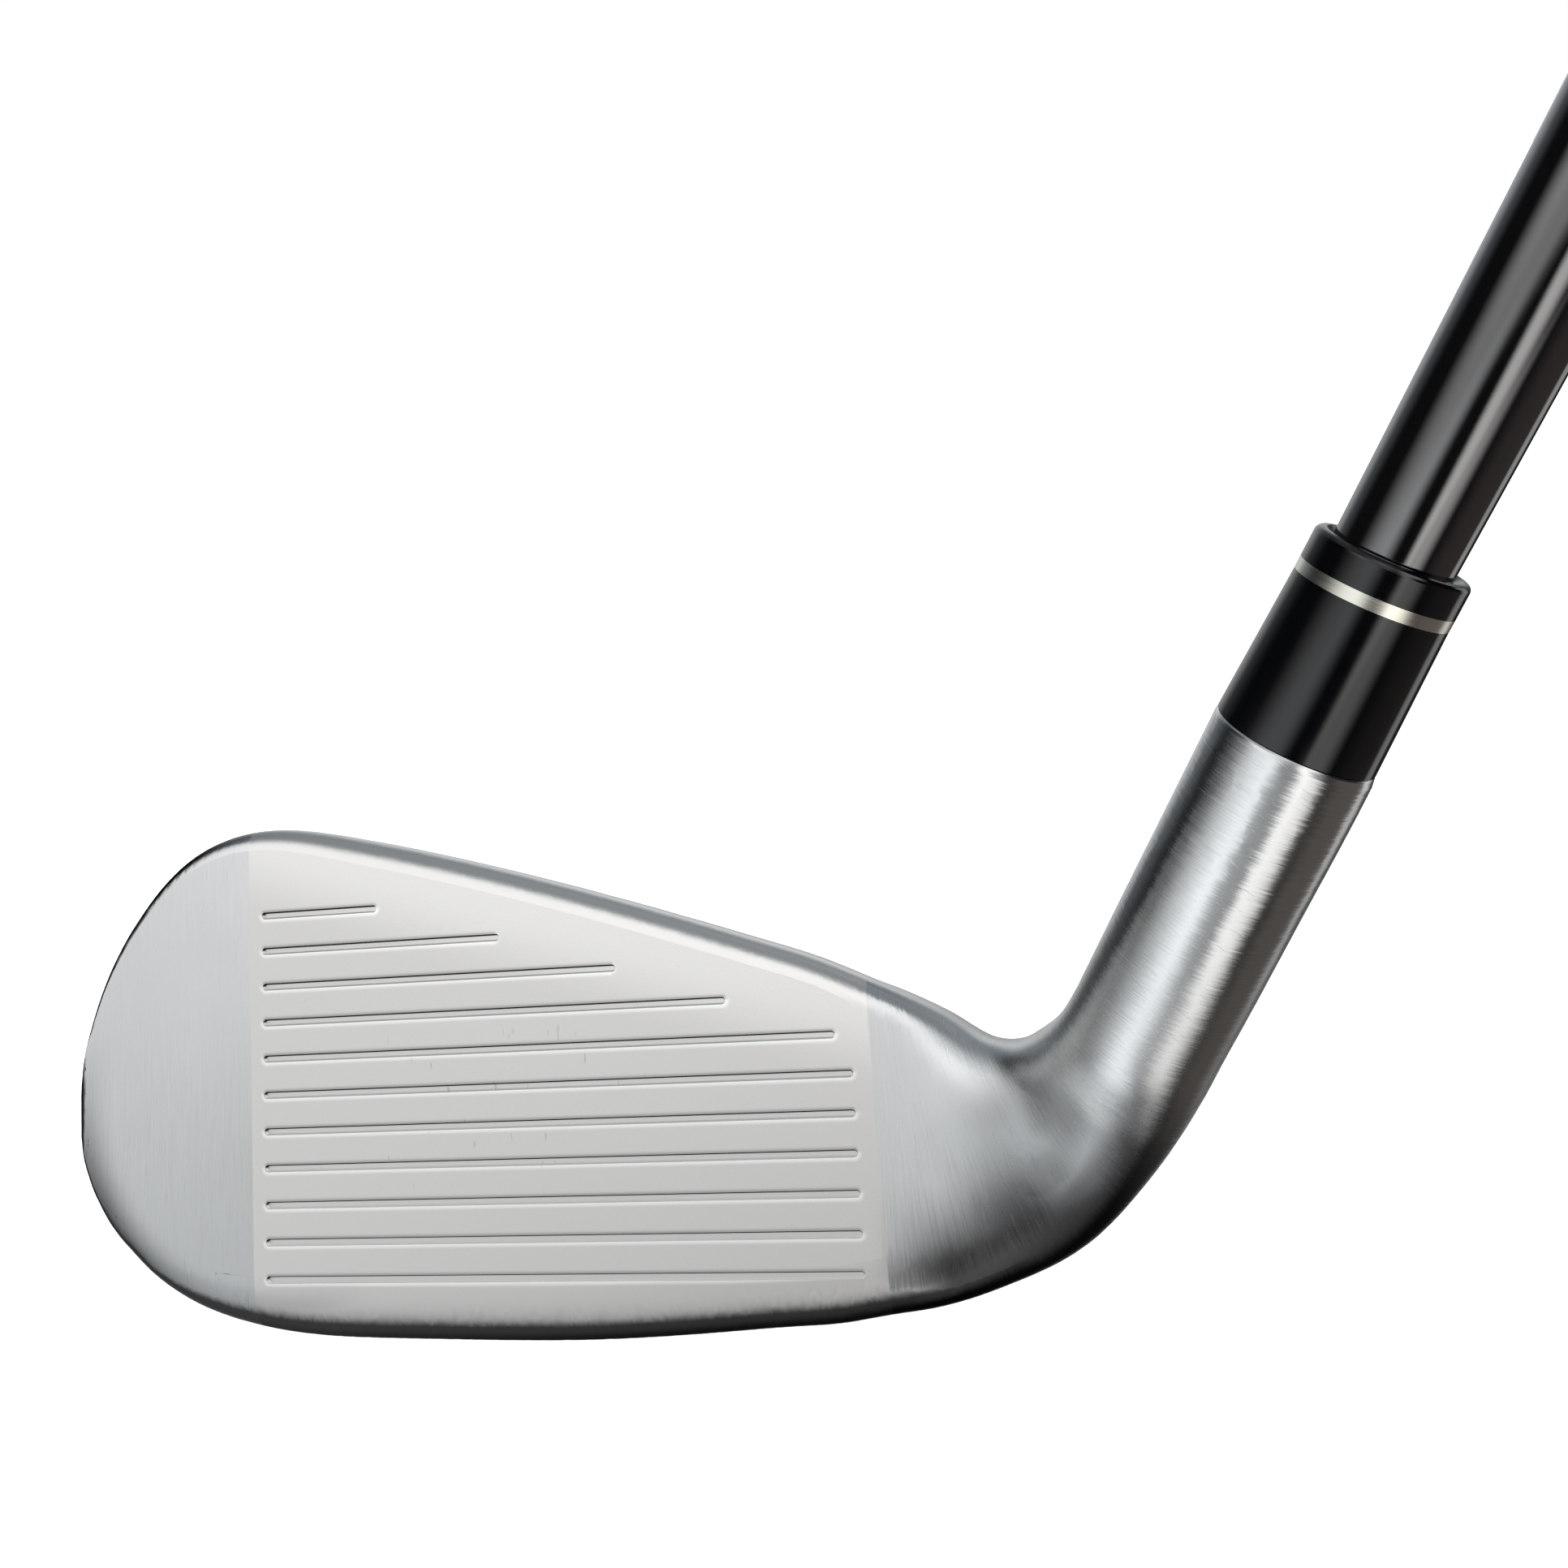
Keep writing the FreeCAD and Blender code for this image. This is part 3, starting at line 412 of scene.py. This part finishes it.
right_edge = graph.total(graph.product(graph.minus(BLAST_TOP, spot.v), BLAST_LEAN), BLAST_RIGHT)
from_right = graph.minus(right_edge, spot.u)
blast = graph.product(graph.fade(spot.u, BLAST_LEFT - BLAST_BLUR, BLAST_LEFT + BLAST_BLUR),
                      graph.fade(from_right, -BLAST_BLUR, BLAST_BLUR),
                      graph.fade(spot.n, BLAST_BACK, BLAST_FRONT))
belt = graph.rest(blast)

grain_axes = (spot.run, spot.across, spot.y)
hair = graph.stretched_noise(grain_axes, *HAIR)
long_hair = graph.stretched_noise(grain_axes, *LONG_HAIR)
skew = graph.total(spot.run, graph.product(spot.across, SCRATCH_SKEW))
scratch = graph.fade(graph.stretched_noise((skew, spot.across, spot.y), *SCRATCH), 0.66, 0.74)
clouds = graph.noise(spot.place, *CLOUDS)
blast_grain = graph.noise(spot.place, *BLAST_GRAIN)

# Score lines: each is a round-ended channel. First the distance to the nearest one's edge and ends.
nearest = graph.math("FLOOR", graph.total(graph.math("DIVIDE", spot.v, LINE_PITCH), 0.5))
nearest = graph.math("MINIMUM", graph.larger(nearest, 0.0), LINE_COUNT - 1.0)
rise = graph.minus(spot.v, graph.product(nearest, LINE_PITCH))
step = graph.minus(nearest, LONG_LINES)
is_short = graph.math("GREATER_THAN", step, -0.5)
shorter = graph.total(FIRST_CUT, graph.product(step, STEP_CUT), graph.product(step, step, STEP_GROWTH))
line_end = graph.minus(LINE_LENGTH - LINE_HALF, graph.product(shorter, is_short))
past_left = graph.minus(LINE_HALF, spot.u)
past_right = graph.minus(spot.u, line_end)
past_end = graph.larger(graph.larger(past_left, past_right), 0.0)
from_line = graph.larger(graph.length(past_end, rise), 0.001)
facing_up = graph.math("DIVIDE", rise, from_line)
on_face = graph.fade(spot.n, LINE_DEEP, LINE_SHALLOW)

# Painted shading: the rims look softly rolled, with painted shade above a line and a painted highlight below
# it and at its ends, and the walls get painted shade, the upper one most.
rim = graph.product(graph.fade(from_line, LINE_HALF, LINE_HALF + RIM_SHADING_REACH, 1.0, 0.0), blast)
rim_up = graph.larger(facing_up, 0.0)
rim_down = graph.larger(graph.product(facing_up, -1.0), 0.0)
rim_end = graph.product(graph.rest(graph.math("ABSOLUTE", facing_up)), RIM_END_TONE)
rim_dark = graph.product(rim, rim, on_face, rim_up, RIM_TONE)
rim_light = graph.product(rim, on_face, graph.total(graph.product(rim_down, RIM_TONE), rim_end))
within = graph.fade(from_line, LINE_HALF, LINE_HALF + LINE_BLUR, 1.0, 0.0)
in_line = graph.product(graph.rest(on_face), within, blast)
upper_wall = graph.fade(rise, *UPPER_WALL, *UPPER_WALL_SHADE)
lower_wall = graph.product(graph.bell(rise, *LOWER_WALL), LOWER_WALL_SHADE)
wall_shade = graph.product(in_line, graph.total(upper_wall, lower_wall))
line_tone = graph.total(1.0, graph.product(rim_dark, -1.0), rim_light, graph.product(wall_shade, -1.0))

# The two finishes' own tones, with faint nicks strewn over the middle of the face, and a painted highlight
# that lightens the blasted face towards the topline.
hair_tone = graph.fade(going_round, 0.0, 1.0, TOE_HAIR_TONE, BEND_HAIR_TONE)
belt_tone = graph.total(graph.product(clouds, CLOUD_TONE), graph.product(hair, hair_tone), BELT_TONE)
below_top = graph.total(TOP_V, graph.product(spot.u, -TOP_SLOPE), graph.product(spot.v, -1.0))
top_glow = graph.fade(below_top, 1.5, 9.0, TOP_GLOW, 0.0)
struck = graph.product(graph.fade(spot.u, 8.0, 16.0), graph.fade(spot.u, 32.0, 44.0, 1.0, 0.0),
                       graph.fade(spot.v, 6.0, 12.0), graph.fade(spot.v, 20.0, 26.0, 1.0, 0.0))
nick_field = graph.stretched_noise((spot.u, spot.v, spot.n), *NICK)
nicks = graph.product(graph.fade(nick_field, 0.715, 0.76), struck)
blast_tone_and_highlight = graph.total(graph.product(blast_grain, GRAIN_TONE), BLAST_TONE, top_glow,
                         graph.product(nicks, NICK_TONE))
tone = graph.fade(blast, 0.0, 1.0, belt_tone, blast_tone_and_highlight, "LINEAR")

# Painted dark edges, on the front only, in place of the dark things close by that polished edges mirror and
# the distant studio doesn't have: the sole's edge, the toe's rim and lower corner, the heel's corner.
under = graph.product(graph.fade(facing_down, 0.06, 0.42), graph.fade(spot.swing, 0.30, 0.90, 1.0, 0.0))
toe_rim = graph.product(graph.fade(facing_toe, 0.04, 0.30), graph.fade(spot.u, -8.0, -2.5, 1.0, 0.0))
toe_u = graph.minus(spot.u, TOE_MIDDLE[0])
toe_v = graph.minus(spot.v, TOE_MIDDLE[1])
toe_corner = graph.product(graph.fade(toe_v, -13.0, 9.0, 1.0, 0.0), graph.fade(spot.u, -6.0, 12.0, 1.0, 0.0))
toe_outer = graph.fade(graph.length(toe_u, toe_v), TOE_ROUND - 5.6, TOE_ROUND + 0.2, kind="SMOOTHERSTEP")
low_toe = graph.product(toe_outer, toe_corner)
heel_x = graph.minus(spot.x, HEEL_MIDDLE[0])
heel_z = graph.minus(spot.z, HEEL_MIDDLE[1])
heel_corner = graph.product(graph.fade(spot.x, 30.0, 38.0), graph.fade(spot.swing, 0.55, 1.05, 1.0, 0.0))
heel_outer = graph.fade(graph.length(heel_x, heel_z), HEEL_ROUND - 11.5, HEEL_ROUND - 3.0)
low_heel = graph.product(heel_outer, heel_corner)
toe_shade = graph.product(graph.larger(toe_rim, low_toe), TOE_SHADE)
edge_shade = graph.larger(toe_shade, graph.product(under, UNDER_SHADE))
edge_shade = graph.larger(edge_shade, graph.product(low_heel, HEEL_SHADE))
edge_shade = graph.product(edge_shade, graph.fade(facing_out, -0.50, -0.15))

# Painted too, in place of such reflections: the darker low toe, and the darker bend with its stripe.
toe_dim = graph.product(graph.fade(spot.v, -2.0, 31.0, TOE_DIM, 0.0),
                        graph.fade(spot.u, -1.0, 9.0, 1.0, 0.0), belt)
bend_dim = graph.product(graph.bell(spot.swing, *BEND_DIM_SWING),
                         graph.fade(spot.from_pivot, 18.0, 24.0), BEND_DIM)
from_stripe = graph.total(spot.from_pivot, graph.product(spot.swing, STRIPE_FALL), -STRIPE_RADIUS)
stripe = graph.product(graph.bell(from_stripe, 0.0, STRIPE_WIDTH), graph.fade(spot.swing, 0.25, 0.50),
                       graph.fade(spot.swing, 0.85, 1.06, 1.0, 0.0), STRIPE_DIM)
bend_dim = graph.product(graph.larger(bend_dim, stripe), graph.fade(facing_out, -0.1, 0.3))

tone = graph.product(tone, line_tone, graph.rest(edge_shade), graph.rest(toe_dim), graph.rest(bend_dim))
metal_tint = graph.blend(blast, BELT_TINT, BLAST_TINT)
graph.join(graph.scaled(metal_tint, tone), shader.inputs["Base Color"])
shader.inputs["Metallic"].default_value = 1.0

belt_rough = graph.total(BELT_ROUGH, graph.product(hair, HAIR_ROUGH), graph.product(scratch, SCRATCH_ROUGH))
blast_rough = graph.total(graph.product(blast_grain, GRAIN_ROUGH), BLAST_ROUGH)
graph.join(graph.fade(blast, 0.0, 1.0, belt_rough, blast_rough, "LINEAR"), shader.inputs["Roughness"])

# The highlight stretches along the run, square to the hairlines.
run_way = graph.combine(graph.math("COSINE", spot.swing), 0.0, graph.math("SINE", spot.swing))
graph.join(run_way, shader.inputs["Tangent"])
shader.inputs["Anisotropic"].default_value = HIGHLIGHT_STRETCH

# The shading normal: averaged in the bend, which hides slight waves of the skin there, leaning to the face's
# own inside the score lines, and thrown by the hairlines.
bend = graph.product(graph.fade(spot.swing, 0.08, 0.45), graph.fade(spot.station, 30.0, 44.0, 1.0, 0.0))
rounded = graph.add("ShaderNodeBevel", samples=8)
rounded.inputs["Radius"].default_value = BEND_SOFT * MM
true_share = graph.scaled(plain_normal, graph.rest(bend))
soft_share = graph.scaled(rounded.outputs["Normal"], bend)
face_share = graph.scaled(FACE_OUT, graph.product(in_line, WALL_FLATTENING))
smooth_normal = graph.vector("ADD", graph.vector("ADD", true_share, soft_share), face_share)
round_way = graph.vector("CROSS_PRODUCT", run_way, plain_normal)
tilt = graph.fade(going_round, 0.0, 1.0, TOE_TILT, HAIR_TILT)
hair_lean = graph.scaled(round_way, graph.product(graph.minus(hair, 0.5), belt, tilt))
leaning = graph.vector("NORMALIZE", graph.vector("ADD", smooth_normal, hair_lean))
relief = graph.total(hair, graph.product(long_hair, 0.35), graph.product(scratch, -0.8))
normal = graph.bump(relief, BELT_RELIEF, leaning, belt)
normal = graph.bump(blast_grain, GRAIN_RELIEF, normal, blast)
graph.join(normal, shader.inputs["Normal"])


# ---- ferrule, shaft and ring ---------------------------------------------------------------------------
SWIRL_ROUGH = 0.07
SWIRL_RELIEF = 0.0012


def glossy(name, dark, light, speck_noise, speck_range, swirl_noise, ior, roughness, speck_rough=0.0):
    """Gloss black with fine specks of dust and a polishing swirl round the shaft's axis."""
    material, tree, principled = fresh(name)
    where = Spot(tree)
    specks = tree.fade(tree.noise(where.place, *speck_noise), *speck_range)
    swirl = tree.stretched_noise((where.station, where.across, where.y), *swirl_noise)
    tree.join(tree.blend(specks, dark + (1,), light + (1,)), principled.inputs["Base Color"])
    rough = tree.total(roughness, tree.product(swirl, SWIRL_ROUGH), tree.product(specks, speck_rough))
    tree.join(rough, principled.inputs["Roughness"])
    principled.inputs["IOR"].default_value = ior
    tree.join(tree.bump(swirl, SWIRL_RELIEF), principled.inputs["Normal"])
    return material


black = glossy("gloss_black", (0.0005, 0.0006, 0.0008), (0.005, 0.005, 0.0055),
               speck_noise=(2.6, 3.0, 0.7), speck_range=(0.66, 0.78),
               swirl_noise=((3.5, 0.3, 0.3), 3.0, 0.6), ior=1.52, roughness=0.08, speck_rough=0.12)
lacquer = glossy("shaft_lacquer", (0.0005, 0.0005, 0.0007), (0.012, 0.011, 0.011),
                 speck_noise=(2.2, 2.0, 0.5), speck_range=(0.74, 0.80),
                 swirl_noise=((2.6, 0.5, 0.5), 3.0, 0.65), ior=2.25, roughness=0.05)

silver, graph, shader = fresh("ring_silver")
spot = Spot(graph)
turned = graph.stretched_noise((spot.station, spot.across, spot.y), (18.0, 0.4, 0.4), 2.0, 0.6)
graph.join(graph.blend(turned, (0.62, 0.60, 0.52, 1), (0.84, 0.82, 0.74, 1)), shader.inputs["Base Color"])
shader.inputs["Metallic"].default_value = 1.0
graph.join(graph.total(graph.product(turned, 0.15), 0.18), shader.inputs["Roughness"])


# ---- the plainer pieces --------------------------------------------------------------------------------
def mottled(name, dark, light, rate, rough_low, rough_high, relief_mm, metallic=0.0):
    """A material whose colour, roughness and relief all follow one noise."""
    material, tree, principled = fresh(name)
    field = tree.noise(Spot(tree).place, rate, 4.0, 0.6)
    colour = tree.blend(tree.fade(field, 0.3, 0.7), dark + (1,), light + (1,))
    tree.join(colour, principled.inputs["Base Color"])
    tree.join(tree.fade(field, 0.25, 0.75, rough_low, rough_high, "LINEAR"), principled.inputs["Roughness"])
    tree.join(tree.bump(field, relief_mm), principled.inputs["Normal"])
    principled.inputs["Metallic"].default_value = metallic
    return material


badge_paint = mottled("badge_satin_black", (0.018, 0.020, 0.024), (0.040, 0.042, 0.048),
                      1.2, 0.28, 0.42, 0.01)
foam = mottled("foam_tape", (0.35, 0.34, 0.32), (0.52, 0.50, 0.47), 3.0, 0.75, 0.95, 0.08)
pad_rubber = mottled("pad_rubber", (0.018, 0.018, 0.020), (0.040, 0.040, 0.043), 2.0, 0.55, 0.75, 0.04)
epoxy = mottled("cured_epoxy", (0.030, 0.026, 0.020), (0.075, 0.066, 0.050), 1.5, 0.18, 0.45, 0.05)
brass = mottled("weight_brass", (0.52, 0.38, 0.16), (0.70, 0.53, 0.26), 2.5, 0.25, 0.45, 0.02, 1.0)
cork = mottled("plug_cork", (0.22, 0.12, 0.06), (0.48, 0.31, 0.17), 1.6, 0.80, 0.95, 0.20)
tape_paper = mottled("grip_tape_paper", (0.62, 0.58, 0.48), (0.78, 0.75, 0.66), 1.0, 0.70, 0.90, 0.03)
cap_rubber = mottled("cap_rubber", (0.012, 0.012, 0.013), (0.024, 0.024, 0.025), 1.5, 0.50, 0.70, 0.03)

# ---- grip ----------------------------------------------------------------------------------------------
# Rows of small dimples, staggered, with plain bands between the patches. The dimples are painted darker, as
# shade in their recesses.
DIMPLE_ROW = 2.4
DIMPLES_ROUND = 30
DIMPLE_DEPTH = 0.30
DIMPLE_SHADE = 0.55
BAND_PITCH = 52.0
PORE_DEPTH = 0.03
TURNS_AHEAD = 100.0          # keeps the count of turns positive all the way round

rubber, graph, shader = fresh("grip_rubber")
spot = Spot(graph)
pores = graph.noise(spot.place, 2.5, 4.0, 0.6)
wear = graph.noise(spot.place, 0.05, 2.0, 0.5)
rows = graph.math("DIVIDE", spot.station, DIMPLE_ROW)
turns = graph.product(spot.around, DIMPLES_ROUND / (2 * math.pi))
stagger = graph.product(graph.math("FLOOR", rows), 0.5)
along = graph.minus(graph.math("FRACT", rows), 0.5)
beside = graph.minus(graph.math("FRACT", graph.total(turns, stagger, TURNS_AHEAD)), 0.5)
reach = graph.total(graph.product(along, along), graph.product(beside, beside))
band = graph.math("SINE", graph.product(spot.station, 2 * math.pi / BAND_PITCH))
dimple = graph.product(graph.fade(reach, 0.05, 0.11, 1.0, 0.0), graph.fade(band, -0.35, -0.20))
tread = graph.rest(dimple)
base = graph.blend(wear, (0.008, 0.008, 0.009, 1), (0.018, 0.018, 0.019, 1))
# painted shade: the dimples' colour is darker
graph.join(graph.scaled(base, graph.fade(dimple, 0.0, 1.0, 1.0, DIMPLE_SHADE)), shader.inputs["Base Color"])
graph.join(graph.total(graph.product(pores, 0.3), 0.50), shader.inputs["Roughness"])
graph.join(graph.bump(pores, PORE_DEPTH, graph.bump(tread, DIMPLE_DEPTH)), shader.inputs["Normal"])

# ---- which material each piece wears -------------------------------------------------------------------
LOOKS = {"head_body": steel, "ferrule_sleeve": black, "ferrule_collar": black, "ferrule_ring": silver,
         "shaft": lacquer, "grip_sleeve": rubber, "grip_end_cap": cap_rubber, "cavity_badge": badge_paint,
         "badge_adhesive": foam, "damping_pad": pad_rubber, "ferrule_epoxy": epoxy, "hosel_epoxy": epoxy,
         "tip_weight": brass, "tip_plug": cork, "grip_tape": tape_paper}
for name, look in LOOKS.items():
    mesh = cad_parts[name].data
    for slot_index in range(len(mesh.materials)):
        mesh.materials[slot_index] = look
